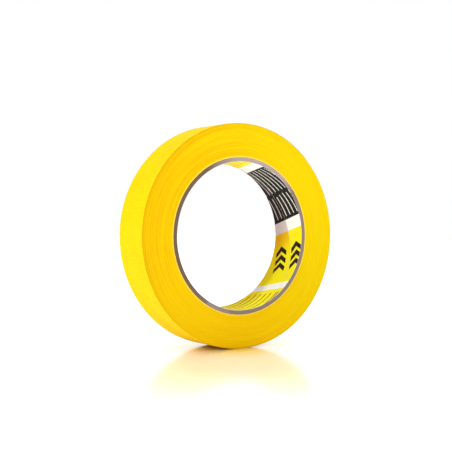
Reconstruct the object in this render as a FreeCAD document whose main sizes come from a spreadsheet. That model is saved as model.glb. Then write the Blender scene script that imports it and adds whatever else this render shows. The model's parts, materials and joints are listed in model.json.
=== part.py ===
import FreeCAD, Part
import Sketcher
import math
import os

# Masking tape roll, standing on its rim.
#
# The roll's axis lies along Y, its front face is at -Y and +Z is up. The
# origin is the point of the rim that touches the surface it stands on, half
# way across the width. Every sub-part is drawn about its own local Y axis and
# its Placement lifts it to the height of the roll's axis and turns it about
# that axis.
#
# Angles are counted anticlockwise as seen from the front, from +X.

V = FreeCAD.Vector
doc = FreeCAD.newDocument("masking_tape_roll")

# ------------------------------------------------------------------ sheet
sheet = doc.addObject("Spreadsheet::Sheet", "Sizes")
ROWS = [
    # alias, value, note
    ("tape_width", 24.0, "slit width of the tape, and of the core cut with it"),
    ("tape_thickness", 0.12, "crepe paper backing with its adhesive"),
    ("winding_radius", 57.58, "outside of the buried laps, under the tape's end"),
    ("bore_radius", 38.10, "3 inch core"),
    ("liner_thickness", 0.15, "printed paper glued inside the core"),
    ("ply_thickness", 0.50, "one ply of core board"),
    ("seam_width", 0.35, "gap between the edges of a spirally wound strip, along the axis"),
    ("liner_seam_width", 0.20, "the same gap in the printed liner"),
    ("seam_pitch", 63.5, "advance of a wound strip in one turn"),
    ("seam_margin", 0.5, "run of the seam past each face of the core"),
    ("seam_reach", 0.25, "how far the seam cut passes the ply's two surfaces"),
    ("liner_seam", 294.7, "angle at which the liner's seam meets the front face"),
    ("first_ply_seam", 152.0, "the same for the innermost board ply"),
    ("second_ply_seam", 30.0, "the same for the second board ply"),
    ("third_ply_seam", 108.0, "the same for the third board ply"),
    ("fourth_ply_seam", 241.0, "the same for the outermost board ply"),
    ("start_angle", 347.0, "where the tape's start lies on the core"),
    ("start_void", 1.2, "arc left open where the second lap climbs over the start"),
    ("tip_angle", 45.0, "where the tape's free edge lies on the rim"),
    ("free_arc", 30.0, "arc of the tape's end that is lifted to unwind it"),
    ("free_gap", 0.05, "air under the free end"),
    ("axis_height", 57.62, "height of the roll's axis above what it stands on"),
    ("flat_length", 12.0, "length of the cut that makes the contact flat, over the chord"),
    ("flat_cut", 1.0, "height of that cut, all of it below the roll's base"),
]
for i, (alias, value, note) in enumerate(ROWS, start=2):
    sheet.set("A%d" % i, alias)
    sheet.set("B%d" % i, repr(value))
    sheet.set("C%d" % i, note)
    sheet.setAlias("B%d" % i, alias)
sheet.set("A1", "size")
sheet.set("B1", "value in mm or degrees")
doc.recompute()


def size(alias):
    return float(sheet.get(alias))


# ---------------------------------------------------------------- helpers
def plane(body, role):
    for feature in body.Origin.OriginFeatures:
        if feature.Role == role:
            return feature
    raise RuntimeError("no " + role)


def new_body(label):
    body = doc.addObject("PartDesign::Body", label)
    body.Label = label
    return body


def new_sketch(body, name, role):
    sketch = body.newObject("Sketcher::SketchObject", name)
    sketch.AttachmentSupport = [(plane(body, role), "")]
    sketch.MapMode = "FlatFace"
    return sketch


def pad_width(body, sketch, name):
    """Pad a cross-section to the tape's width, half each way from the middle."""
    pad = body.newObject("PartDesign::Pad", name)
    pad.Profile = sketch
    if hasattr(pad, "SideType"):
        pad.SideType = "Symmetric"
    else:
        pad.Midplane = True
    pad.setExpression("Length", "Sizes.tape_width")
    sketch.Visibility = False
    doc.recompute()
    return pad


def stand(body, angle):
    """Lift a body to the roll's axis and turn it anticlockwise about it."""
    body.Placement = FreeCAD.Placement(
        V(0, 0, 0), FreeCAD.Rotation(V(0, -1, 0), 1.0)
    )
    body.setExpression("Placement.Rotation.Angle", angle)
    body.setExpression("Placement.Base.z", "Sizes.axis_height")


def bind(sketch, constraint, name, expression):
    """Add a dimension, name it and bind it to the sheet."""
    i = sketch.addConstraint(constraint)
    sketch.renameConstraint(i, name)
    sketch.setExpression("Constraints." + name, expression)
    return i


def arc(sketch, cx, radius, a0, a1):
    """An arc about (cx, 0), from a0 to a1 degrees."""
    circle = Part.Circle(V(cx, 0, 0), V(0, 0, 1), radius)
    return sketch.addGeometry(
        Part.ArcOfCircle(circle, math.radians(a0), math.radians(a1)), False
    )


def line(sketch, p, q, construction=False):
    return sketch.addGeometry(
        Part.LineSegment(V(p[0], p[1], 0), V(q[0], q[1], 0)), construction
    )


def polar(radius, degrees):
    a = math.radians(degrees)
    return radius * math.cos(a), radius * math.sin(a)


C = Sketcher.Constraint


# -------------------------------------------------- spirally wound core
def wound_ply(label, inner, outer, r_in, r_out, seam, gap):
    """One ply of the core: a strip wound in a helix, whose two edges nearly
    meet. The ring is padded first and the gap between the strip's edges is
    then cut along the helix. All plies are wound the same way round."""
    body = new_body(label)
    ring = new_sketch(body, label + "_ring", "XZ_Plane")
    a = ring.addGeometry(Part.Circle(V(0, 0, 0), V(0, 0, 1), r_in), False)
    b = ring.addGeometry(Part.Circle(V(0, 0, 0), V(0, 0, 1), r_out), False)
    ring.addConstraint(C("Coincident", a, 3, -1, 1))
    ring.addConstraint(C("Coincident", b, 3, -1, 1))
    bind(ring, C("Radius", a, r_in), "inner", inner)
    bind(ring, C("Radius", b, r_out), "outer", outer)
    pad_width(body, ring, label + "_pad")
    whole = body.Shape.Volume

    # the gap's section, in the plane through the axis
    reach, start, g = size("seam_reach"), -size("tape_width") / 2, size(gap)
    y0 = start - size("seam_margin")
    slot = new_sketch(body, label + "_gap", "XY_Plane")
    x0, x1 = r_in - reach, r_out + reach
    e = [
        line(slot, (x0, y0 - g / 2), (x1, y0 - g / 2)),
        line(slot, (x1, y0 - g / 2), (x1, y0 + g / 2)),
        line(slot, (x1, y0 + g / 2), (x0, y0 + g / 2)),
        line(slot, (x0, y0 + g / 2), (x0, y0 - g / 2)),
    ]
    for i in range(4):
        slot.addConstraint(C("Coincident", e[i], 2, e[(i + 1) % 4], 1))
    slot.addConstraint(C("Horizontal", e[0]))
    slot.addConstraint(C("Horizontal", e[2]))
    slot.addConstraint(C("Vertical", e[1]))
    slot.addConstraint(C("Vertical", e[3]))
    bind(slot, C("DistanceX", -1, 1, e[0], 1, x0), "near",
         "%s - Sizes.seam_reach" % inner)
    bind(slot, C("DistanceX", -1, 1, e[0], 2, x1), "far",
         "%s + Sizes.seam_reach" % outer)
    bind(slot, C("DistanceY", e[0], 1, -1, 1, -(y0 - g / 2)), "low",
         "Sizes.tape_width / 2 + Sizes.seam_margin + Sizes.%s / 2" % gap)
    bind(slot, C("DistanceY", e[1], 1, e[1], 2, g), "wide", "Sizes.%s" % gap)
    doc.recompute()

    helix = body.newObject("PartDesign::SubtractiveHelix", label + "_seam")
    helix.Profile = slot
    helix.ReferenceAxis = (plane(body, "Y_Axis"), [""])
    helix.Mode = "pitch-height-angle"
    helix.LeftHanded = True
    helix.Reversed = False
    helix.setExpression("Pitch", "Sizes.seam_pitch")
    helix.setExpression("Height", "Sizes.tape_width + 2 * Sizes.seam_margin")
    slot.Visibility = False
    doc.recompute()
    body.Tip = helix
    doc.recompute()
    cut = whole - body.Shape.Volume
    print(label, "seam cut", round(cut, 2), "mm3")
    if not 1.0 < cut < 60.0:
        raise RuntimeError(label + ": the seam cut the wrong amount")
    stand(body, "%s - 360 * Sizes.seam_margin / Sizes.seam_pitch" % seam)
    return body


bore, liner_t, ply_t = size("bore_radius"), size("liner_thickness"), size("ply_thickness")
parts = []
parts.append(
    wound_ply("core_printed_liner", "Sizes.bore_radius",
              "Sizes.bore_radius + Sizes.liner_thickness",
              bore, bore + liner_t, "Sizes.liner_seam", "liner_seam_width")
)
for n, word in enumerate(("first", "second", "third", "fourth")):
    base = "Sizes.bore_radius + Sizes.liner_thickness + %d * Sizes.ply_thickness"
    parts.append(
        wound_ply("core_%s_board_ply" % word, base % n, base % (n + 1),
                  bore + liner_t + n * ply_t, bore + liner_t + (n + 1) * ply_t,
                  "Sizes.%s_ply_seam" % word, "seam_width")
    )

CORE = "(Sizes.bore_radius + Sizes.liner_thickness + 4 * Sizes.ply_thickness)"
core = bore + liner_t + 4 * ply_t
t = size("tape_thickness")
R = size("winding_radius")
free = size("free_arc")
gap = size("free_gap")


# ------------------------------------------------------- wound tape strip
def first_lap():
    """The tape's start on the core: one lap, open where the second lap climbs
    over the cut edge."""
    body = new_body("tape_first_lap")
    s = new_sketch(body, "tape_first_lap_section", "XZ_Plane")
    a0, a1 = size("start_void"), 360.0
    inner = arc(s, 0, core, a0, a1)
    outer = arc(s, 0, core + t, a0, a1)
    e0 = line(s, polar(core, a0), polar(core + t, a0))
    e1 = line(s, polar(core, a1), polar(core + t, a1))
    s.addConstraint(C("Coincident", inner, 3, -1, 1))
    s.addConstraint(C("Coincident", outer, 3, -1, 1))
    s.addConstraint(C("Coincident", e0, 1, inner, 1))
    s.addConstraint(C("Coincident", e0, 2, outer, 1))
    s.addConstraint(C("Coincident", e1, 1, inner, 2))
    s.addConstraint(C("Coincident", e1, 2, outer, 2))
    s.addConstraint(C("PointOnObject", e1, 1, -1))
    s.addConstraint(C("PointOnObject", e1, 2, -1))
    s.addConstraint(C("PointOnObject", -1, 1, e0))
    bind(s, C("Radius", inner, core), "core", CORE)
    bind(s, C("Radius", outer, core + t), "lap", CORE + " + Sizes.tape_thickness")
    bind(s, C("Angle", -1, 1, e0, 1, math.radians(a0)), "opening",
         "Sizes.start_void * 1 deg")
    pad_width(body, s, "tape_first_lap_pad")
    stand(body, "Sizes.start_angle")
    return body


def winding():
    """All the laps between the first and the last as one wound mass. The
    outside is a spiral of two arcs about centres half a thickness apart, so
    it drops by one tape thickness in a turn."""
    body = new_body("tape_winding")
    s = new_sketch(body, "tape_winding_section", "XZ_Plane")
    hole = s.addGeometry(Part.Circle(V(0, 0, 0), V(0, 0, 1), core + t), False)
    upper = arc(s, 0, R, 0, 180)
    lower = arc(s, -t / 2, R - t / 2, 180, 360)
    step = line(s, (R - t, 0), (R, 0))
    s.addConstraint(C("Coincident", hole, 3, -1, 1))
    s.addConstraint(C("Coincident", upper, 3, -1, 1))
    s.addConstraint(C("PointOnObject", lower, 3, -1))
    s.addConstraint(C("PointOnObject", upper, 1, -1))
    s.addConstraint(C("PointOnObject", upper, 2, -1))
    s.addConstraint(C("Coincident", lower, 1, upper, 2))
    s.addConstraint(C("PointOnObject", lower, 2, -1))
    s.addConstraint(C("Coincident", step, 1, lower, 2))
    s.addConstraint(C("Coincident", step, 2, upper, 1))
    bind(s, C("Radius", hole, core + t), "inside", CORE + " + Sizes.tape_thickness")
    bind(s, C("Radius", upper, R), "outside", "Sizes.winding_radius")
    bind(s, C("DistanceX", lower, 3, -1, 1, t / 2), "shift",
         "Sizes.tape_thickness / 2")
    pad_width(body, s, "tape_winding_pad")
    stand(body, "Sizes.tip_angle")
    return body


def outer_lap():
    """The last lap, from the peel line back to where it dives under the free
    end. Its inside follows the winding's spiral. The soft crepe gives a little
    where the roll stands, so the lap has a contact flat there, about 0.06 mm
    deep and 5 mm long round the rim."""
    body = new_body("outer_lap_strip")
    s = new_sketch(body, "outer_lap_section", "XZ_Plane")
    ui = arc(s, 0, R, free, 180)
    uo = arc(s, 0, R + t, free, 180)
    li = arc(s, -t / 2, R - t / 2, 180, 360)
    lo = arc(s, -t / 2, R + t / 2, 180, 360)
    e0 = line(s, polar(R, free), polar(R + t, free))
    e1 = line(s, (R - t, 0), (R, 0))
    s.addConstraint(C("Coincident", ui, 3, -1, 1))
    s.addConstraint(C("Coincident", uo, 3, -1, 1))
    s.addConstraint(C("PointOnObject", li, 3, -1))
    s.addConstraint(C("Coincident", lo, 3, li, 3))
    s.addConstraint(C("PointOnObject", ui, 2, -1))
    s.addConstraint(C("PointOnObject", uo, 2, -1))
    s.addConstraint(C("Coincident", li, 1, ui, 2))
    s.addConstraint(C("Coincident", lo, 1, uo, 2))
    s.addConstraint(C("Coincident", e0, 1, ui, 1))
    s.addConstraint(C("Coincident", e0, 2, uo, 1))
    s.addConstraint(C("Coincident", e1, 1, li, 2))
    s.addConstraint(C("Coincident", e1, 2, lo, 2))
    s.addConstraint(C("PointOnObject", e1, 1, -1))
    s.addConstraint(C("PointOnObject", e1, 2, -1))
    s.addConstraint(C("PointOnObject", -1, 1, e0))
    bind(s, C("Radius", ui, R), "inside", "Sizes.winding_radius")
    bind(s, C("Radius", uo, R + t), "outside",
         "Sizes.winding_radius + Sizes.tape_thickness")
    bind(s, C("DistanceX", li, 3, -1, 1, t / 2), "shift",
         "Sizes.tape_thickness / 2")
    bind(s, C("Angle", -1, 1, e0, 1, math.radians(free)), "peel_line",
         "Sizes.free_arc * 1 deg")
    pad_width(body, s, "outer_lap_pad")
    stand(body, "Sizes.tip_angle")
    doc.recompute()

    below = doc.addObject("Part::Box", "below_the_base")
    below.setExpression("Length", "Sizes.flat_length")
    below.setExpression("Width", "Sizes.tape_width + 2 * Sizes.flat_cut")
    below.setExpression("Height", "Sizes.flat_cut")
    below.setExpression("Placement.Base.x", "-Sizes.flat_length / 2")
    below.setExpression("Placement.Base.y", "-Sizes.tape_width / 2 - Sizes.flat_cut")
    below.setExpression("Placement.Base.z", "-Sizes.flat_cut")
    lap = doc.addObject("Part::Cut", "tape_outer_lap")
    lap.Label = "tape_outer_lap"
    lap.Base = body
    lap.Tool = below
    doc.recompute()
    gone = body.Shape.Volume - lap.Shape.Volume
    print("contact flat takes off", round(gone, 2), "mm3")
    if not 1.0 < gone < 12.0:
        raise RuntimeError("the contact flat is the wrong size")
    return lap


def free_end():
    """The end of the strip that is lifted to unwind the tape. It lies just
    clear of the lap below and ends in a straight cut."""
    body = new_body("tape_free_end")
    s = new_sketch(body, "tape_free_end_section", "XZ_Plane")
    r0, r1 = R + gap, R + gap + t
    inner = arc(s, 0, r0, 0, free)
    outer = arc(s, 0, r1, 0, free)
    tip = line(s, (r0, 0), (r1, 0))
    root = line(s, polar(r0, free), polar(r1, free))
    s.addConstraint(C("Coincident", inner, 3, -1, 1))
    s.addConstraint(C("Coincident", outer, 3, -1, 1))
    s.addConstraint(C("Coincident", tip, 1, inner, 1))
    s.addConstraint(C("Coincident", tip, 2, outer, 1))
    s.addConstraint(C("Coincident", root, 1, inner, 2))
    s.addConstraint(C("Coincident", root, 2, outer, 2))
    s.addConstraint(C("PointOnObject", tip, 1, -1))
    s.addConstraint(C("PointOnObject", tip, 2, -1))
    s.addConstraint(C("PointOnObject", -1, 1, root))
    bind(s, C("Radius", inner, r0), "inside",
         "Sizes.winding_radius + Sizes.free_gap")
    bind(s, C("Radius", outer, r1), "outside",
         "Sizes.winding_radius + Sizes.free_gap + Sizes.tape_thickness")
    bind(s, C("Angle", -1, 1, root, 1, math.radians(free)), "peel_line",
         "Sizes.free_arc * 1 deg")
    pad_width(body, s, "tape_free_end_pad")
    stand(body, "Sizes.tip_angle")
    return body


parts += [first_lap(), winding(), outer_lap(), free_end()]
doc.recompute()

# ----------------------------------------------------------------- checks
for obj in doc.Objects:
    if "Invalid" in obj.State or "Error" in obj.State:
        raise RuntimeError("%s failed: %s" % (obj.Name, obj.State))
    if obj.TypeId == "Sketcher::SketchObject":
        left = obj.solve()
        if left != 0:
            raise RuntimeError("%s does not solve: %s" % (obj.Name, left))

for body in parts:
    shape = body.Shape
    if shape.isNull() or not shape.isValid() or len(shape.Solids) != 1:
        raise RuntimeError("%s is not one valid solid" % body.Label)

# --------------------------------------------------------------- writing
os.makedirs("parts", exist_ok=True)
low = min(body.Shape.BoundBox.ZMin for body in parts)
for body in parts:
    shape = body.Shape
    box = shape.BoundBox
    print("%-22s volume %10.2f  x %.3f..%.3f  y %.3f..%.3f  z %.3f..%.3f" % (
        body.Label, shape.Volume, box.XMin, box.XMax, box.YMin, box.YMax,
        box.ZMin, box.ZMax))
    shape.exportStep("parts/%s.step" % body.Label)
tip, height = size("tip_angle"), size("axis_height")
px, pz = polar(R + gap + t, tip + free)
print("lowest point z %.4f" % low)
print("peel line at x %.4f z %.4f" % (px, pz + height))
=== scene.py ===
import json
import math

import bpy
import numpy as np
from mathutils import Matrix, Vector


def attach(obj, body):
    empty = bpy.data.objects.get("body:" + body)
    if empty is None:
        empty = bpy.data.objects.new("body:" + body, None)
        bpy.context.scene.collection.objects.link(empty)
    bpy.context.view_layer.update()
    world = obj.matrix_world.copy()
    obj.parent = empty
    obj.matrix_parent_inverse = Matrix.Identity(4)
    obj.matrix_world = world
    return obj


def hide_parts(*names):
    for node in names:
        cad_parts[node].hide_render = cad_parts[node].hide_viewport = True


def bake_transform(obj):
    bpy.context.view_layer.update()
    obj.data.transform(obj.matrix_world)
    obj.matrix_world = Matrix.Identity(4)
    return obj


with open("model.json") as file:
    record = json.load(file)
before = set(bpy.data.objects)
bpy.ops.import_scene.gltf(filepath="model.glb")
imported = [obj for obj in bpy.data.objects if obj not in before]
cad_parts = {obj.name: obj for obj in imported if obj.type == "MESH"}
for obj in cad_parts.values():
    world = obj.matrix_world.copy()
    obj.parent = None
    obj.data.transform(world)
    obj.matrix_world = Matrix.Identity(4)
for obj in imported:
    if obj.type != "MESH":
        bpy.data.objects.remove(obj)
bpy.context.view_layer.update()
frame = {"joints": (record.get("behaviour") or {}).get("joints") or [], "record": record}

MM = 0.001

# ---------------------------------------------------------------- sizes read from the frame, in millimetres
bore = next(m for m in frame["record"]["mounts"] if m["name"] == "core_bore")
peel = next(j for j in frame["joints"] if j["name"] == "free_end_peel")
BORE_R = bore["dims"]["r_mm"]
WIDTH = bore["dims"]["length_mm"]
AXIS_Z = bore["pos_m"][2] / MM
FRONT, BACK = -WIDTH / 2, WIDTH / 2


PLIES = ["core_first_board_ply", "core_second_board_ply", "core_third_board_ply", "core_fourth_board_ply"]
PLY_R = [BORE_R + 0.15, 38.75, 39.25, 39.75, 40.25]
FIRST_LAP_R = PLY_R[-1]
TAPE_T = 0.12
WIND_IN = FIRST_LAP_R + TAPE_T
PEEL = Vector(peel["pos_m"]) / MM
PEEL_DEG = math.degrees(math.atan2(PEEL.z - AXIS_Z, PEEL.x))      # 75 degrees
TIP_DEG = PEEL_DEG - 30.0
SEAM_PITCH = 63.5
LINER_SLANT = math.atan2(SEAM_PITCH, 2 * math.pi * BORE_R)
SEAMS = {"liner": 294.7, "plies": [152.0, 30.0, 108.0, 241.0]}


def winding_radius(deg):
    """Outer radius of the winding under the last lap: it grows by one tape thickness in each turn."""
    phi = np.mod(np.asarray(deg, float) - TIP_DEG, 360.0)
    rad = np.radians(phi)
    grown = np.sqrt(57.52**2 - (0.06 * np.sin(rad)) ** 2) - 0.06 * np.cos(rad)
    return np.where(phi < 180.0, 57.58, grown)


def smooth(t):
    t = np.clip(t, 0.0, 1.0)
    return t * t * (3 - 2 * t)


# ---------------------------------------------------------------- seeded lattice noise
def lattice(seed, shape):
    return np.random.RandomState(seed).rand(*shape)


def noise2(x, y, seed, period_x=None):
    """Smooth value noise in 0..1 over the plane; period_x makes it repeat along x."""
    table = lattice(seed, (509 if period_x is None else period_x, 127))
    nx, ny = table.shape
    x0, y0 = np.floor(x).astype(int), np.floor(y).astype(int)
    fx, fy = smooth(x - x0), smooth(y - y0)
    a = table[x0 % nx, y0 % ny]
    b = table[(x0 + 1) % nx, y0 % ny]
    c = table[x0 % nx, (y0 + 1) % ny]
    d = table[(x0 + 1) % nx, (y0 + 1) % ny]
    return (a * (1 - fx) + b * fx) * (1 - fy) + (c * (1 - fx) + d * fx) * fy


def crepe(s, y):
    """Depth of the creped paper's wrinkles, 0 on a ridge to 1 in a furrow: short broken ridges across the tape."""
    warp = 1.3 * (noise2(s / 5.0, y / 3.1, 11) - 0.5)
    a = noise2(s / 0.62 + warp, y / 3.4, 12)
    b = noise2(s / 0.37 + 0.7 * warp, y / 1.7, 13)
    c = noise2(s / 1.9, y / 6.0, 14)
    h = 0.52 * a + 0.3 * b + 0.18 * c
    return smooth((h - 0.22) / 0.56)


# ---------------------------------------------------------------- mesh building
def polar(r, deg, y):
    """Points in metres from radius (mm), angle (degrees, anticlockwise seen from the front) and y (mm)."""
    a = np.radians(deg)
    r, a, y = np.broadcast_arrays(r, a, y)
    return np.stack([r * np.cos(a), y, AXIS_Z + r * np.sin(a)], -1) * MM


def build(name, verts, faces, sharp=32.0, uv=None, uv_name="tape", slots=None):
    """A mesh object from a vertex array and a list of faces, wound outwards, smooth with sharp corners."""
    me = bpy.data.meshes.new(name)
    me.from_pydata(verts.tolist(), [], faces)
    me.update()
    volume = 0.0
    me.calc_loop_triangles()
    tri = np.empty(len(me.loop_triangles) * 3, np.int32)
    me.loop_triangles.foreach_get("vertices", tri)
    tri = verts[tri.reshape(-1, 3)]
    volume = np.einsum("ij,ij->i", tri[:, 0], np.cross(tri[:, 1], tri[:, 2])).sum()
    if volume < 0:
        me.flip_normals()
    me.polygons.foreach_set("use_smooth", [True] * len(me.polygons))
    me.set_sharp_from_angle(angle=math.radians(sharp))
    if uv is not None:
        layer = me.uv_layers.new(name=uv_name)
        index = np.empty(len(me.loops), np.int32)
        me.loops.foreach_get("vertex_index", index)
        layer.data.foreach_set("uv", uv[index].astype(np.float32).ravel())
    if slots is not None:
        me.polygons.foreach_set("material_index", slots)
    ob = bpy.data.objects.new(name, me)
    bpy.context.scene.collection.objects.link(ob)
    return ob


def slab(outer, inner, ratio=(1, 1)):
    """A closed slab between two grids of points. The inner grid may be coarser by ratio, and the walls join them.
    Returns the vertices, the faces and each face's kind: 0 outer, 1 inner, 2 long edge, 3 short end."""
    n, m = outer.shape[0] - 1, outer.shape[1] - 1
    cs, cy = ratio
    k, l = n // cs, m // cy
    assert inner.shape[:2] == (k + 1, l + 1) and n % cs == 0 and m % cy == 0
    verts = np.concatenate([outer.reshape(-1, 3), inner.reshape(-1, 3)])
    base = (n + 1) * (m + 1)
    o = lambda i, j: i * (m + 1) + j
    q = lambda i, j: base + i * (l + 1) + j
    faces, kind = [], []
    for i in range(n):
        for j in range(m):
            faces.append((o(i, j), o(i, j + 1), o(i + 1, j + 1), o(i + 1, j)))
    kind += [0] * (n * m)
    for i in range(k):
        for j in range(l):
            faces.append((q(i, j), q(i + 1, j), q(i + 1, j + 1), q(i, j + 1)))
    kind += [1] * (k * l)
    for i in range(k):
        run = [o(i * cs + t, 0) for t in range(cs + 1)]
        faces.append((q(i + 1, 0), q(i, 0), *run))
        run = [o(i * cs + t, m) for t in range(cs, -1, -1)]
        faces.append((q(i, l), q(i + 1, l), *run))
    kind += [2] * (2 * k)
    for j in range(l):
        run = [o(0, j * cy + t) for t in range(cy, -1, -1)]
        faces.append((q(0, j), q(0, j + 1), *run))
        run = [o(n, j * cy + t) for t in range(cy + 1)]
        faces.append((q(k, j + 1), q(k, j), *run))
    kind += [3] * (2 * l)
    return verts, faces, kind


# ---------------------------------------------------------------- node helpers
class Shader:
    """A material with small helpers, so that a pattern reads as an expression."""

    def __init__(self, name):
        self.mat = bpy.data.materials.new(name)
        self.mat.use_nodes = True
        self.nt = self.mat.node_tree
        self.nt.nodes.clear()
        self.out = self.nt.nodes.new("ShaderNodeOutputMaterial")
        self.bsdf = self.nt.nodes.new("ShaderNodeBsdfPrincipled")
        self.nt.links.new(self.bsdf.outputs[0], self.out.inputs["Surface"])

    def put(self, socket, value):
        if isinstance(value, bpy.types.NodeSocket):
            self.nt.links.new(value, socket)
        else:
            if hasattr(socket.default_value, "__len__") and len(socket.default_value) == 4 and len(value) == 3:
                value = (*value, 1.0)
            socket.default_value = value

    def m(self, op, a, b=None, c=None):
        n = self.nt.nodes.new("ShaderNodeMath")
        n.operation = op
        for i, v in enumerate((a, b, c)):
            if v is not None:
                self.put(n.inputs[i], v)
        return n.outputs[0]

    def add(self, a, b): return self.m("ADD", a, b)
    def sub(self, a, b): return self.m("SUBTRACT", a, b)
    def mul(self, a, b): return self.m("MULTIPLY", a, b)
    def mod(self, a, b): return self.m("FLOORED_MODULO", a, b)

    def ramp(self, x, lo, hi, a=0.0, b=1.0):
        """a below lo, b above hi, turning smoothly between them."""
        n = self.nt.nodes.new("ShaderNodeMapRange")
        n.interpolation_type = "SMOOTHSTEP"
        for i, v in enumerate((x, lo, hi, a, b)):
            self.put(n.inputs[i], v)
        return n.outputs[0]

    def band(self, x, lo, hi, soft=0.05):
        return self.mul(self.ramp(x, lo - soft, lo + soft), self.ramp(x, hi - soft, hi + soft, 1.0, 0.0))

    def mix(self, t, a, b, blend="MIX"):
        n = self.nt.nodes.new("ShaderNodeMix")
        n.data_type = "RGBA"
        n.blend_type = blend
        self.put(n.inputs[0], t)
        self.put(n.inputs[6], a)
        self.put(n.inputs[7], b)
        return n.outputs[2]

    def coords(self):
        """Object coordinates in millimetres: x, y and height above the roll's axis."""
        c = self.nt.nodes.new("ShaderNodeTexCoord").outputs["Object"]
        s = self.nt.nodes.new("ShaderNodeSeparateXYZ")
        self.nt.links.new(c, s.inputs[0])
        return (self.mul(s.outputs[0], 1000.0), self.mul(s.outputs[1], 1000.0),
                self.sub(self.mul(s.outputs[2], 1000.0), AXIS_Z))

    def uv(self, name):
        n = self.nt.nodes.new("ShaderNodeUVMap")
        n.uv_map = name
        s = self.nt.nodes.new("ShaderNodeSeparateXYZ")
        self.nt.links.new(n.outputs[0], s.inputs[0])
        return s.outputs[0], s.outputs[1]

    def vec(self, x, y, z=0.0):
        n = self.nt.nodes.new("ShaderNodeCombineXYZ")
        for i, v in enumerate((x, y, z)):
            self.put(n.inputs[i], v)
        return n.outputs[0]

    def noise(self, vector, scale=1.0, detail=2.0, rough=0.5):
        n = self.nt.nodes.new("ShaderNodeTexNoise")
        n.noise_dimensions = "3D"
        self.nt.links.new(vector, n.inputs["Vector"])
        n.inputs["Scale"].default_value = scale
        n.inputs["Detail"].default_value = detail
        n.inputs["Roughness"].default_value = rough
        return n.outputs["Fac"]

    def bump(self, height, strength, distance, normal=None):
        n = self.nt.nodes.new("ShaderNodeBump")
        n.inputs["Strength"].default_value = strength
        n.inputs["Distance"].default_value = distance
        self.nt.links.new(height, n.inputs["Height"])
        if normal is not None:
            self.nt.links.new(normal, n.inputs["Normal"])
        return n.outputs[0]

    def set(self, **values):
        for key, value in values.items():
            self.put(self.bsdf.inputs[key.replace("_", " ")], value)
        return self.mat


# ---------------------------------------------------------------- materials
def tape_face_material():
    """The creped face of the tape: yellow paper with a fine saturant gloss, wrinkles and fibres."""
    sh = Shader("crepe_tape_face")
    s, y = sh.uv("tape")
    wrinkle = sh.noise(sh.vec(sh.mul(s, 2.3), sh.mul(y, 0.45)), 1.0, 3.0, 0.6)
    fibre = sh.noise(sh.vec(sh.mul(s, 5.5), sh.mul(y, 1.6), 7.0), 1.0, 4.0, 0.7)
    cloud = sh.noise(sh.vec(sh.mul(s, 0.05), sh.mul(y, 0.11), 3.0), 1.0, 2.0, 0.5)
    ridge = sh.noise(sh.vec(sh.mul(s, 0.95), sh.mul(y, 0.21), 11.0), 1.0, 2.0, 0.55)
    tone = sh.add(sh.add(sh.mul(wrinkle, 0.32), sh.mul(ridge, 0.30)), sh.add(sh.mul(fibre, 0.16), sh.mul(cloud, 0.22)))
    colour = sh.mix(sh.ramp(tone, 0.34, 0.66), (0.90, 0.58, 0.002), (0.96, 0.71, 0.004))
    edge = sh.ramp(sh.m("ABSOLUTE", y), 11.75, 12.0)
    colour = sh.mix(sh.mul(edge, 0.55), colour, (0.90, 0.62, 0.006))
    height = sh.add(sh.mul(ridge, 1.7), sh.add(sh.mul(wrinkle, 0.8), sh.mul(fibre, 0.35)))
    normal = sh.bump(height, 0.55, 0.00006)
    rough = sh.ramp(fibre, 0.3, 0.7, 0.46, 0.62)
    return sh.set(Base_Color=colour, Roughness=rough, Specular_IOR_Level=0.02, Normal=normal)


def tape_glue_material():
    """The adhesive side of the tape: the same paper seen through a tacky, slightly glossy rubber film."""
    sh = Shader("tape_adhesive_side")
    s, y = sh.uv("tape")
    streak = sh.noise(sh.vec(sh.mul(s, 0.35), sh.mul(y, 1.9), 5.0), 1.0, 3.0, 0.55)
    mottle = sh.noise(sh.vec(sh.mul(s, 1.8), sh.mul(y, 1.2), 9.0), 1.0, 3.0, 0.6)
    tone = sh.add(sh.mul(streak, 0.55), sh.mul(mottle, 0.45))
    colour = sh.mix(sh.ramp(tone, 0.32, 0.68), (0.80, 0.56, 0.045), (0.90, 0.69, 0.10))
    normal = sh.bump(mottle, 0.25, 0.00005)
    rough = sh.ramp(streak, 0.3, 0.7, 0.24, 0.36)
    return sh.set(Base_Color=colour, Roughness=rough, Specular_IOR_Level=0.55, Coat_Weight=0.25, Coat_Roughness=0.3, Normal=normal)


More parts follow.
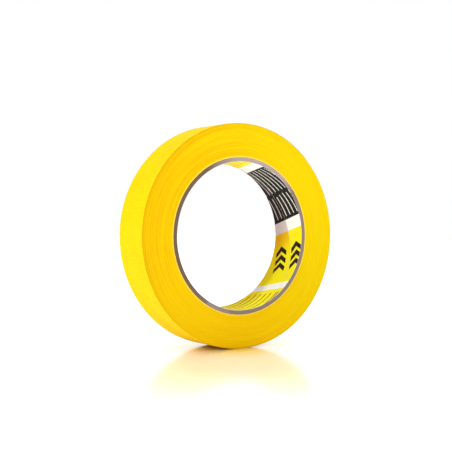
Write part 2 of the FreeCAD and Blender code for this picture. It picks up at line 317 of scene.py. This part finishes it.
def tape_side_material():
    """The slit edges of all the laps: warmer yellow with fine lap lines that follow the winding."""
    sh = Shader("tape_lap_edges")
    x, y, z = sh.coords()
    r = sh.m("SQRT", sh.add(sh.mul(x, x), sh.mul(z, z)))
    angle = sh.m("ARCTAN2", z, x)
    ca, sa = sh.m("COSINE", angle), sh.m("SINE", angle)
    side = sh.m("SIGN", y)
    # one lap is 0.12 mm: the lines are noise in the radius, drawn out along the lap
    lap = sh.noise(sh.vec(sh.mul(r, 8.0), sh.mul(ca, 0.9), sh.add(sh.mul(sa, 0.9), sh.mul(side, 9.0))), 1.0, 1.0, 0.5)
    bundle = sh.noise(sh.vec(sh.mul(r, 1.25), sh.mul(ca, 0.8), sh.add(sh.mul(sa, 0.8), sh.mul(side, 5.0))), 1.0, 2.5, 0.6)
    broad = sh.noise(sh.vec(sh.mul(r, 0.22), sh.mul(ca, 0.7), sh.add(sh.mul(sa, 0.7), sh.mul(side, 3.0))), 1.0, 2.0, 0.5)
    fibre = sh.noise(sh.vec(sh.mul(x, 4.0), sh.mul(z, 4.0), sh.mul(y, 4.0)), 1.0, 3.0, 0.65)
    # the laps show more on the upper left, where they lie less evenly; there the lap lines and the outer edge are also
    # drawn darker, as painted shade of light grazing from the left
    uneven_laps_and_grazing_shade = sh.ramp(sh.add(sh.mul(ca, -0.86), sh.mul(sa, 0.5)), 0.0, 1.0)
    # painted light and shade: the edges are drawn more orange towards the lower left and yellower towards the upper
    # right, as the light falls on them
    warm = sh.ramp(sh.m("COSINE", sh.sub(angle, math.radians(-135))), -0.7, 0.8)
    colour = sh.mix(sh.ramp(broad, 0.3, 0.7), sh.mix(warm, (0.745, 0.520, 0.002), (0.815, 0.510, 0.002)),
                    sh.mix(warm, (0.765, 0.560, 0.003), (0.845, 0.550, 0.003)))
    # lap bundles drawn darker, most on the upper left: real lap lines with painted grazing shade added
    dark = sh.mul(sh.ramp(bundle, 0.44, 0.60), sh.add(0.14, sh.mul(uneven_laps_and_grazing_shade, 0.60)))
    colour = sh.mix(dark, colour, (0.74, 0.40, 0.002))
    colour = sh.mix(sh.mul(sh.ramp(lap, 0.45, 0.75), 0.22), colour, (0.80, 0.45, 0.003))
    colour = sh.mix(sh.mul(sh.ramp(fibre, 0.55, 0.8), 0.12), colour, (0.95, 0.70, 0.02))
    # painted shade: darker towards the outer edge on the upper left, and in a thin line along the rim all round,
    # strongest on the upper left
    outer = sh.mul(sh.ramp(r, 52.5, 57.0), sh.mul(uneven_laps_and_grazing_shade, 0.40))
    colour = sh.mix(outer, colour, (0.66, 0.38, 0.002))
    painted_rim_shade = sh.ramp(r, 56.7, 57.45)
    colour = sh.mix(sh.mul(painted_rim_shade, sh.add(0.34, sh.mul(uneven_laps_and_grazing_shade, 0.40))), colour, (0.66, 0.36, 0.002))
    first = sh.ramp(r, 40.5, 41.0, 1.0, 0.0)
    colour = sh.mix(sh.mul(first, 0.45), colour, (0.93, 0.72, 0.20))
    height = sh.add(sh.mul(lap, 1.0), sh.add(sh.mul(bundle, 0.6), sh.mul(fibre, 0.25)))
    normal = sh.bump(height, 0.40, 0.00008)
    return sh.set(Base_Color=colour, Roughness=sh.ramp(fibre, 0.3, 0.7, 0.6, 0.75), Specular_IOR_Level=0.01, Normal=normal)


def board_material(name, warm):
    """Grey-brown recycled board: grey fibres, brown flecks, a rough saw cut on the ends."""
    sh = Shader(name)
    x, y, z = sh.coords()
    p = sh.vec(x, y, z)
    fine = sh.noise(p, 5.5, 4.0, 0.7)
    fleck = sh.noise(p, 1.7, 3.0, 0.6)
    r = sh.m("SQRT", sh.add(sh.mul(x, x), sh.mul(z, z)))
    angle = sh.m("ARCTAN2", z, x)
    layer = sh.noise(sh.vec(sh.mul(r, 9.0), sh.m("COSINE", angle), sh.m("SINE", angle)), 1.0, 2.0, 0.5)
    tone = sh.add(sh.add(sh.mul(fine, 0.4), sh.mul(fleck, 0.25)), sh.mul(layer, 0.35))
    # painted light and shade: the board is drawn paler and greyer where light falls, towards the top of the roll and
    # less towards the lower right, and darker and browner in shade elsewhere; a narrow paler patch sits at the lower
    # left
    patch = sh.noise(sh.vec(sh.mul(sh.m("COSINE", angle), 1.6), sh.mul(sh.m("SINE", angle), 1.6), 2.0), 1.0, 1.0, 0.5)
    wander = sh.mul(sh.sub(patch, 0.5), 0.3)

    def towards(deg, lo, hi):
        return sh.ramp(sh.add(sh.m("COSINE", sh.sub(angle, math.radians(deg))), wander), lo, hi)

    pale = sh.m("MAXIMUM", towards(72, 0.66, 0.95), sh.mul(towards(-40, -0.4, 0.5), 0.38))
    pale = sh.m("MAXIMUM", pale, sh.mul(towards(243, 0.965, 0.995), 0.6))
    # lit and shaded copies of the board's colour; the pale mask picks the lit one
    base = sh.mix(pale, tuple(Vector((0.118, 0.076, 0.046)) * warm), tuple(Vector((0.335, 0.255, 0.240)) * warm))
    light = sh.mix(pale, tuple(Vector((0.200, 0.136, 0.090)) * warm), tuple(Vector((0.480, 0.390, 0.380)) * warm))
    colour = sh.mix(sh.ramp(tone, 0.34, 0.66), base, light)
    colour = sh.mix(sh.mul(sh.ramp(fleck, 0.60, 0.74), 0.5), colour, (0.13, 0.085, 0.055))
    normal = sh.bump(sh.add(fine, sh.mul(layer, 0.8)), 0.7, 0.00012)
    return sh.set(Base_Color=colour, Roughness=sh.ramp(fine, 0.3, 0.7, 0.78, 0.92), Specular_IOR_Level=0.15, Normal=normal)


def paper_edge_material():
    """The liner's cut edges and its unprinted back."""
    sh = Shader("liner_raw_paper")
    x, y, z = sh.coords()
    fine = sh.noise(sh.vec(x, y, z), 6.0, 4.0, 0.65)
    colour = sh.mix(sh.ramp(fine, 0.35, 0.65), (0.50, 0.45, 0.42), (0.66, 0.61, 0.58))
    return sh.set(Base_Color=colour, Roughness=sh.ramp(fine, 0.3, 0.7, 0.75, 0.88), Specular_IOR_Level=0.2,
                  Normal=sh.bump(fine, 0.4, 0.00005))


def liner_print_material():
    """The printed liner, in the strip's own coordinates: p along the strip and q across it, both in millimetres.
    Its panels repeat every 115.7 mm of strip: lined yellow, white, yellow with arrows, white, black with pale rows, white."""
    sh = Shader("liner_print")
    p, q = sh.uv("print")
    pm = sh.sub(sh.mod(sh.add(p, 64.9), 115.7), 64.9)
    grain = sh.noise(sh.vec(p, q, 1.0), 3.2, 4.0, 0.65)
    worn = sh.noise(sh.vec(p, q, 4.0), 0.55, 3.0, 0.6)

    white = sh.mix(sh.ramp(grain, 0.3, 0.7), (0.90, 0.885, 0.88), (0.95, 0.94, 0.935))
    yellow = sh.mix(sh.ramp(grain, 0.3, 0.7), (0.91, 0.77, 0.004), (0.95, 0.83, 0.008))
    black = sh.mix(sh.ramp(grain, 0.3, 0.7), (0.006, 0.005, 0.005), (0.016, 0.014, 0.013))

    def rows(first, pitch, half, thin, lo, hi, seed):
        """Rows of short plain dashes along the strip."""
        place = sh.sub(sh.mod(sh.sub(q, first - pitch / 2), pitch), pitch / 2)
        number = sh.m("FLOOR", sh.m("DIVIDE", sh.sub(q, first - pitch / 2), pitch))
        line = sh.ramp(sh.m("ABSOLUTE", place), half - thin, half + thin, 1.0, 0.0)
        words = sh.noise(sh.vec(sh.mul(p, 0.62), sh.mul(number, 7.31), seed), 1.0, 1.0, 0.5)
        ends = sh.add(hi, sh.mul(sh.noise(sh.vec(sh.mul(number, 3.7), seed, 2.0), 1.0, 0.0, 0.5), -3.0))
        dash = sh.ramp(words, 0.27, 0.30)
        inside = sh.mul(sh.ramp(pm, lo - 0.05, lo + 0.05), sh.m("LESS_THAN", pm, ends))
        return sh.mul(sh.mul(line, dash), inside)

    # panels
    colour = white
    lined = sh.ramp(pm, -29.65, -29.55, 1.0, 0.0)
    marked = sh.band(pm, -25.1, 5.14)
    dark = sh.band(pm, 11.25, 45.0)
    colour = sh.mix(lined, colour, yellow)
    colour = sh.mix(marked, colour, yellow)
    colour = sh.mix(dark, colour, black)
    # thin brown rows on the lined yellow panel
    thin = rows(-1.2, 3.75, 0.34, 0.08, -62.5, -31.0, 21.0)
    colour = sh.mix(sh.mul(thin, 0.95), colour, (0.20, 0.085, 0.006))
    # pale rows in two columns on the black panel
    pale = sh.m("MAXIMUM", rows(-2.7, 3.75, 0.36, 0.08, 12.9, 26.2, 31.0), rows(-5.65, 3.87, 0.36, 0.08, 27.2, 45.4, 37.0))
    colour = sh.mix(sh.mul(pale, 0.95), colour, (0.84, 0.81, 0.78))
    # plain direction arrows: three chevrons in a row, pointing along the strip
    across = sh.m("ABSOLUTE", sh.sub(sh.mod(sh.sub(q, 5.46 - 12.075 / 2), 12.075), 12.075 / 2))
    point = sh.sub(pm, sh.sub(-17.3 + 4.4 * 0.75, sh.mul(across, 0.75)))
    stroke = sh.ramp(sh.mod(point, 4.7), 2.85, 2.95, 1.0, 0.0)
    arrows = sh.mul(sh.mul(stroke, sh.band(point, 0.0, 12.3, 0.04)), sh.mul(sh.ramp(across, 4.35, 4.45, 1.0, 0.0), sh.sub(1.0, sh.band(q, -36.3, -24.6))))
    colour = sh.mix(arrows, colour, (0.022, 0.010, 0.006))
    # ink lightly rubbed; and painted shade: the print drawn darker towards the back of the bore, and darker still
    # behind the seam along the strip's lower edge
    colour = sh.mix(sh.mul(sh.ramp(worn, 0.56, 0.74), 0.10), colour, (0.72, 0.68, 0.64))
    # painted shade behind the seam, only on the part of the bore wall seen from the front
    seam = sh.ramp(q, -39.0, -28.0, 1.0, 0.0)
    shade = sh.mul(seam, sh.mul(sh.ramp(p, 222.0, 236.0), sh.ramp(p, 280.0, 300.0, 1.0, 0.0)))
    inked = sh.m("MAXIMUM", marked, lined)
    across_roll = sh.add(sh.mul(p, math.sin(LINER_SLANT)), sh.mul(q, math.cos(LINER_SLANT)))
    # painted shade: the print drawn darker, and more orange on the yellow ink, towards the back edge of the bore
    painted_bore_depth_shade = sh.mul(sh.ramp(across_roll, 12.0, 24.0), 0.55)
    colour = sh.mix(painted_bore_depth_shade, colour, sh.mix(1.0, colour, sh.mix(inked, (0.80, 0.75, 0.78), (0.92, 0.62, 0.40)), "MULTIPLY"))
    tint = sh.mix(inked, (0.68, 0.56, 0.60), (0.86, 0.50, 0.40))
    colour = sh.mix(sh.mul(shade, 0.85), colour, sh.mix(1.0, colour, tint, "MULTIPLY"))
    ends = sh.m("MAXIMUM", sh.ramp(q, 10.75, 11.1), sh.ramp(q, -50.35, -50.0, 1.0, 0.0))
    colour = sh.mix(sh.mul(ends, 0.5), colour, (0.55, 0.50, 0.46))
    gloss = sh.ramp(grain, 0.3, 0.7, 0.42, 0.56)
    normal = sh.bump(sh.add(sh.mul(grain, 0.6), worn), 0.22, 0.00006)
    return sh.set(Base_Color=colour, Roughness=gloss, Specular_IOR_Level=0.04, Normal=normal)


crepe_face = tape_face_material()
glue_side = tape_glue_material()
lap_edges = tape_side_material()
liner_print = liner_print_material()
liner_raw = paper_edge_material()
boards = [board_material(f"core_board_{w}", k) for w, k in (("first", 1.0), ("second", 0.93), ("third", 1.05), ("fourth", 0.90))]


# ---------------------------------------------------------------- the last lap of tape
def tape_strip(name, start, end, steps, across, inner_r, outer_r, s0, ratio):
    """Part of the last lap, from one angle to another, with the crepe's wrinkles in its outer face.
    inner_r and outer_r are functions of the angle; s0 is the distance from the tape's tip at the start angle."""
    deg = np.linspace(start, end, steps + 1)
    y = np.linspace(FRONT, BACK, across + 1)
    D, Y = np.meshgrid(deg, y, indexing="ij")
    s = s0 + np.radians(np.abs(D - start)) * 57.6
    depth = 0.022 + 0.034 * crepe(s, Y)
    # the slit edges wander a little and are pressed in
    slit = 0.030 * noise2(s / 9.0, Y * 0 + 3.0, 17) + 0.012
    lean = np.where(Y < 0, slit, -slit) * smooth((np.abs(Y) - 10.8) / 1.2)
    depth = depth + 0.015 * smooth((np.abs(Y) - 11.6) / 0.4)
    R = outer_r(D) - depth
    outer = polar(R, D, Y + lean)
    outer[..., 2] = np.maximum(outer[..., 2], 0.0)
    cs, cy = ratio
    Di, Yi = D[::cs, ::cy], Y[::cs, ::cy]
    inner = polar(inner_r(Di), Di, Yi + lean[::cs, ::cy])
    inner[..., 2] = np.maximum(inner[..., 2], 0.00006)
    verts, faces, kind = slab(outer, inner, ratio)
    S = np.concatenate([s.ravel(), s[::cs, ::cy].ravel()])
    V = np.concatenate([Y.ravel(), Yi.ravel()])
    slots = [{0: 0, 1: 1, 2: 2, 3: 2}[k] for k in kind]
    ob = build(name, verts, faces, 40.0, np.stack([S, V], -1), "tape", slots)
    for mat in (crepe_face, glue_side, lap_edges):
        ob.data.materials.append(mat)
    return ob


FREE_LENGTH = math.radians(30.0) * 57.6
outer_lap = tape_strip(
    "outer_lap_strip", PEEL_DEG, TIP_DEG + 389.9, 1800, 30,
    lambda d: winding_radius(d) * (d < TIP_DEG + 360) + 57.46 * (d >= TIP_DEG + 360) + 0.006,
    lambda d: winding_radius(d) * (d < TIP_DEG + 360) + 57.46 * (d >= TIP_DEG + 360) + TAPE_T,
    FREE_LENGTH, (5, 5))
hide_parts("tape_outer_lap")
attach(outer_lap, "roll")


# ---------------------------------------------------------------- the free end, lying on the roll from its tip to the peel line
def free_end_strip():
    steps, across = 152, 30
    t = np.linspace(0.0, 1.0, steps + 1)                     # 0 at the tip, 1 at the peel line
    y = np.linspace(FRONT, BACK, across + 1)
    T, Y = np.meshgrid(t, y, indexing="ij")
    s = T * FREE_LENGTH
    # the tip is cut across with a fine serration, which the first steps follow
    tooth = 0.22 * np.abs(np.mod(Y / 1.6, 1.0) * 2 - 1) + 0.16 * noise2(Y * 1.3, Y * 0 + 2.0, 23)
    s = s + tooth * smooth(1 - T * 30)
    D = TIP_DEG + 30.0 * s / FREE_LENGTH
    slit = 0.030 * noise2(s / 9.0, Y * 0 + 3.0, 17) + 0.012
    lean = np.where(Y < 0, slit, -slit) * smooth((np.abs(Y) - 10.8) / 1.2)
    # it leaves the roll flush with the last lap and lifts by a few hundredths towards the tip
    lift = 0.045 * smooth((FREE_LENGTH - s) / 6.0)
    depth = 0.022 + 0.034 * crepe(s, Y) + 0.015 * smooth((np.abs(Y) - 11.6) / 0.4)
    R = 57.58 + TAPE_T + lift - depth
    outer = polar(R, D, Y + lean)
    inner = polar(57.586 + lift, D, Y + lean)
    verts, faces, kind = slab(outer, inner)
    S = np.concatenate([s.ravel(), s.ravel()])
    V = np.concatenate([Y.ravel(), Y.ravel()])
    slots = [{0: 0, 1: 1, 2: 2, 3: 2}[k] for k in kind]
    ob = build("free_end_strip", verts, faces, 40.0, np.stack([S, V], -1), "tape", slots)
    for mat in (crepe_face, glue_side, lap_edges):
        ob.data.materials.append(mat)
    return ob


free_end = free_end_strip()
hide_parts("tape_free_end")
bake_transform(free_end)


# ---------------------------------------------------------------- the winding: 60 bundles of laps
def winding_mesh():
    bundles, seg = 60, 356
    deg = np.sort(np.concatenate([np.linspace(0, 360, seg, endpoint=False) + PEEL_DEG + 0.5, [PEEL_DEG - 0.03, PEEL_DEG + 0.03]]))
    n = len(deg)
    phi = np.mod(deg - TIP_DEG, 360.0)
    r_out = winding_radius(deg)
    r_out = np.where(phi < 30.0, 57.46, r_out) - 0.004
    rng = np.random.RandomState(5)
    share = np.cumsum(np.concatenate([[0.0], 0.6 + 0.8 * rng.rand(bundles)]))
    share /= share[-1]

    def side(seed):
        """Inward offset of each bundle's edges round the roll."""
        rg = np.random.RandomState(seed)
        base = 0.045 * rg.rand(bundles) ** 2
        a = np.radians(deg)[:, None]
        total = base[None, :] + 0.012
        for k in (1, 2, 3):
            total = total + 0.012 / k * rg.rand(bundles) * (1 + np.cos(k * a + 6.28 * rg.rand(bundles)))
        mask = smooth((np.cos(a - np.radians(142)) + 0.15) / 1.15)
        total = total + mask * 0.055 * (rg.rand(bundles) ** 3)
        return total                                            # (n, bundles)

    rings, depth = [], []
    front, back = side(31), side(32)
    eps = 0.012
    for k in range(bundles + 1):
        r = WIND_IN + (r_out - WIND_IN) * share[k]
        if k > 0:
            rings.append((r - (eps if k < bundles else 0), k - 1))
        if k < bundles:
            rings.append((r + (eps if k > 0 else 0), k))
    R = np.stack([r for r, _ in rings], 1)                      # (n, 2*bundles)
    idx = [b for _, b in rings]
    F = np.stack([polar(R[:, i], deg, FRONT + front[:, idx[i]]) for i in range(len(idx))], 1)
    B = np.stack([polar(R[:, i], deg, BACK - back[:, idx[i]]) for i in range(len(idx))], 1)
    loop = np.concatenate([F, B[:, ::-1]], 1)                   # front inner to outer, back outer to inner
    m = loop.shape[1]
    verts = loop.reshape(-1, 3)
    i, j = np.meshgrid(np.arange(n), np.arange(m), indexing="ij")
    i2, j2 = (i + 1) % n, (j + 1) % m
    quads = np.stack([i * m + j, i * m + j2, i2 * m + j2, i2 * m + j], -1).reshape(-1, 4)
    ob = build("tape_winding_body", verts, quads.tolist(), 28.0)
    ob.data.materials.append(lap_edges)
    return ob


winding = winding_mesh()
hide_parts("tape_winding")
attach(winding, "roll")


# ---------------------------------------------------------------- the first lap on the core
def first_lap_mesh():
    steps, across = 400, 6
    deg = np.linspace(348.2, 347.0 + 360.0, steps + 1)
    y = np.linspace(FRONT, BACK, across + 1)
    D, Y = np.meshgrid(deg, y, indexing="ij")
    inset = 0.02 + 0.03 * noise2(D / 9.0, Y * 0 + 1.0, 41)
    Y2 = Y - np.sign(Y) * inset
    outer = polar(WIND_IN - 0.004, D, Y2)
    inner = polar(FIRST_LAP_R + 0.004, D, Y2)
    verts, faces, kind = slab(outer, inner)
    s = np.radians(D) * 40.3
    uv = np.stack([np.tile(s.ravel(), 2), np.tile(Y.ravel(), 2)], -1)
    ob = build("first_lap_strip", verts, faces, 40.0, uv, "tape", [{0: 0, 1: 1, 2: 2, 3: 2}[k] for k in kind])
    for mat in (crepe_face, glue_side, lap_edges):
        ob.data.materials.append(mat)
    return ob


first_lap = first_lap_mesh()
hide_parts("tape_first_lap")
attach(first_lap, "roll")


# ---------------------------------------------------------------- the core: a printed liner and four board plies, each one helical strip
def core_strip(name, seam0, gap, r_in, r_out, steps, across, seed, rough_end):
    """A strip wound once round in a helix, so that its two edges meet along one slanting seam."""
    u = np.linspace(0.0, 1.0, steps + 1)
    y = np.linspace(FRONT, BACK, across + 1)
    U, Y = np.meshgrid(u, y, indexing="ij")
    gap_deg = math.degrees(gap / r_in)
    frayed = gap_deg * 0.22 * (noise2(Y * 1.9, Y * 0 + seed, seed + 1) - 0.5)
    seam = seam0 + (Y - FRONT) * 360.0 / SEAM_PITCH
    start, end = seam + gap_deg / 2 + frayed, seam + 360.0 - gap_deg / 2 + frayed * 0.7
    D = start + U * (end - start)
    # the saw cut leaves the ends a few hundredths in, unevenly
    cut = rough_end * (0.25 + 0.75 * noise2(U * steps / 3.0, Y * 0 + 5.0, seed + 2))
    Y2 = Y - np.sign(Y) * cut * smooth((np.abs(Y) - (WIDTH / 2 - 0.9)) / 0.9)
    return U, Y, Y2, D, start


def liner_mesh():
    steps, across = 360, 24
    U, Y, Y2, D, start = core_strip("liner", SEAMS["liner"] - 360.0, 0.20, BORE_R, PLY_R[0], steps, across, 51, 0.03)
    # the board's own seams show faintly through the paper, as shallow dents that lead away from the bore
    dent = np.zeros_like(D)
    for k, seam0 in enumerate(SEAMS["plies"]):
        at = seam0 + (Y - FRONT) * 360.0 / SEAM_PITCH
        off = (np.mod(D - at + 180.0, 360.0) - 180.0) * math.radians(BORE_R)
        dent = dent + (0.06, 0.022, 0.01, 0.006)[k] * np.exp(-(off / 0.55) ** 2)
    wave = 0.012 * noise2(D / 7.0, Y / 5.0, 55)
    inner = polar(BORE_R + 0.002 + dent + wave, D, Y2)
    outer = polar(PLY_R[0] - 0.004 + 0 * D, D, Y2)
    verts, faces, kind = slab(outer, inner)
    a = LINER_SLANT
    along = np.radians(D) * BORE_R
    s = Y - FRONT
    p = along * math.cos(a) + s * math.sin(a)
    q = -along * math.sin(a) + s * math.cos(a)
    uv = np.stack([np.tile(p.ravel(), 2), np.tile(q.ravel(), 2)], -1)
    ob = build("printed_liner_strip", verts, faces, 40.0, uv, "print", [0 if k == 1 else 1 for k in kind])
    ob.data.materials.append(liner_print)
    ob.data.materials.append(liner_raw)
    return ob


liner = liner_mesh()
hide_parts("core_printed_liner")
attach(liner, "roll")


def ply_mesh(k):
    steps, across = 360, 16
    r_in, r_out = PLY_R[k], PLY_R[k + 1]
    U, Y, Y2, D, start = core_strip(PLIES[k], SEAMS["plies"][k], 0.35, r_in, r_out, steps, across, 61 + 7 * k, 0.06)
    outer = polar(r_out - 0.003 - 0.010 * noise2(D / 2.0, Y / 1.5, 62 + k), D, Y2)
    inner = polar(r_in + 0.003 + 0.010 * noise2(D / 2.0, Y / 1.5, 66 + k), D, Y2)
    verts, faces, kind = slab(outer, inner)
    ob = build(PLIES[k] + "_strip", verts, faces, 40.0)
    ob.data.materials.append(boards[k])
    return ob


for k, name in enumerate(PLIES):
    ply = ply_mesh(k)
    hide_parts(name)
    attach(ply, "roll")


# ---------------------------------------------------------------- floor
def floor_material():
    sh = Shader("studio_floor")
    c = sh.nt.nodes.new("ShaderNodeTexCoord").outputs["Object"]
    s = sh.nt.nodes.new("ShaderNodeSeparateXYZ")
    sh.nt.links.new(c, s.inputs[0])
    fine = sh.noise(c, 40.0, 2.0, 0.5)
    x, y = s.outputs[0], s.outputs[1]
    d = sh.m("SQRT", sh.add(sh.mul(x, x), sh.mul(y, y)))
    # painted contact shadow: dark orange-brown close under the roll, for its shadow and the reflection of its underside
    core = sh.ramp(d, 0.006, 0.020, 1.0, 0.0)
    # painted warm bounce: an orange-yellow ring round the contact, for the roll's yellow light on the floor
    painted_warm_bounce = sh.ramp(d, 0.016, 0.046, 1.0, 0.0)
    white = sh.mix(sh.ramp(fine, 0.3, 0.7), (0.84, 0.83, 0.82), (0.87, 0.86, 0.85))
    # floor colour: the painted contact shadow nearest the roll, the painted warm bounce around it, white beyond
    colour = sh.mix(core, sh.mix(painted_warm_bounce, white, (0.84, 0.70, 0.36)), (0.45, 0.22, 0.02))
    # emission colour: painted orange light near the contact and in the warm ring, white further out
    light = sh.mix(core, sh.mix(painted_warm_bounce, (1.0, 0.99, 0.97), (1.0, 0.74, 0.25)), (1.0, 0.50, 0.05))
    # painted glow: the floor emits light, weakly near the roll as a painted contact shadow and strongly further out,
    # where it also lights the roll from below
    painted_floor_glow = sh.add(sh.ramp(d, 0.010, 0.030, 0.04, 0.33), sh.ramp(d, 0.075, 0.200, 0.0, 0.78))
    return sh.set(Base_Color=colour, Roughness=sh.ramp(fine, 0.3, 0.7, 0.14, 0.15), Specular_IOR_Level=0.5,
                  Coat_Weight=1.0, Coat_Roughness=0.17, Emission_Color=light, Emission_Strength=painted_floor_glow)


def floor_mesh():
    size, n = 3.0, 24
    c = np.linspace(-1, 1, n + 1)
    c = np.sign(c) * np.abs(c) ** 2 * size
    X, Y = np.meshgrid(c, c, indexing="ij")
    verts = np.stack([X, Y, np.zeros_like(X)], -1).reshape(-1, 3)
    o = lambda i, j: i * (n + 1) + j
    faces = [(o(i, j), o(i + 1, j), o(i + 1, j + 1), o(i, j + 1)) for i in range(n) for j in range(n)]
    me = bpy.data.meshes.new("studio_floor")
    me.from_pydata(verts.tolist(), [], faces)
    me.update()
    ob = bpy.data.objects.new("studio_floor", me)
    bpy.context.scene.collection.objects.link(ob)
    me.materials.append(floor_material())
    return ob


floor = floor_mesh()
floor.location.z = -0.00002

# ---------------------------------------------------------------- light
world = bpy.data.worlds.new("studio")
bpy.context.scene.world = world
world.use_nodes = True
wt = world.node_tree
bg = wt.nodes["Background"]
bg.inputs["Color"].default_value = (1.0, 1.0, 1.0, 1.0)
path = wt.nodes.new("ShaderNodeLightPath")
seen = wt.nodes.new("ShaderNodeMath")
seen.operation = "MAXIMUM"
wt.links.new(path.outputs["Is Camera Ray"], seen.inputs[0])
wt.links.new(path.outputs["Is Glossy Ray"], seen.inputs[1])
level = wt.nodes.new("ShaderNodeMapRange")
level.inputs["To Min"].default_value = 0.42
level.inputs["To Max"].default_value = 1.0
wt.links.new(seen.outputs[0], level.inputs["Value"])
wt.links.new(level.outputs[0], bg.inputs["Strength"])


def softbox(name, at, aim, size, watts):
    data = bpy.data.lights.new(name, "AREA")
    data.shape = "RECTANGLE"
    data.size, data.size_y = size
    data.energy = watts
    ob = bpy.data.objects.new(name, data)
    ob.location = at
    ob.rotation_mode = "QUATERNION"
    ob.rotation_quaternion = (Vector(aim) - Vector(at)).to_track_quat("-Z", "Y")
    ob.visible_camera = False
    bpy.context.scene.collection.objects.link(ob)
    return ob


CENTRE = (0.0, 0.0, AXIS_Z * MM)
softbox("overhead", (0.0, 0.0, 1.1), CENTRE, (0.9, 0.9), 6.3)
softbox("key_left", (-1.06, -0.27, 0.55), CENTRE, (0.06, 0.50), 4.1)
softbox("near_right", (0.20, -0.22, 0.24), CENTRE, (0.12, 0.12), 0.26)
softbox("front_fill", (-0.10, -1.00, 0.45), CENTRE, (0.6, 0.6), 0.38)
softbox("low_fill", (-0.10, -0.22, 0.02), (0.0, -0.012, 0.012), (0.20, 0.03), 0.062)

# ---------------------------------------------------------------- camera
cam_data = bpy.data.cameras.new("camera")
cam_data.lens = 79.75
cam_data.sensor_width = 36.0
cam_data.clip_start, cam_data.clip_end = 0.01, 20.0
cam = bpy.data.objects.new("camera", cam_data)
bpy.context.scene.collection.objects.link(cam)
forward = Vector((0.5394, 0.8420, -0.0097)).normalized()
right = forward.cross(Vector((0, 0, 1))).normalized()
up = right.cross(forward)
cam.matrix_world = Matrix((
    (right.x, up.x, -forward.x, -0.28321),
    (right.y, up.y, -forward.y, -0.43898),
    (right.z, up.z, -forward.z, 0.06766),
    (0, 0, 0, 1)))
bpy.context.scene.camera = cam
bpy.context.scene.view_settings.view_transform = "Standard"

bpy.context.view_layer.update()
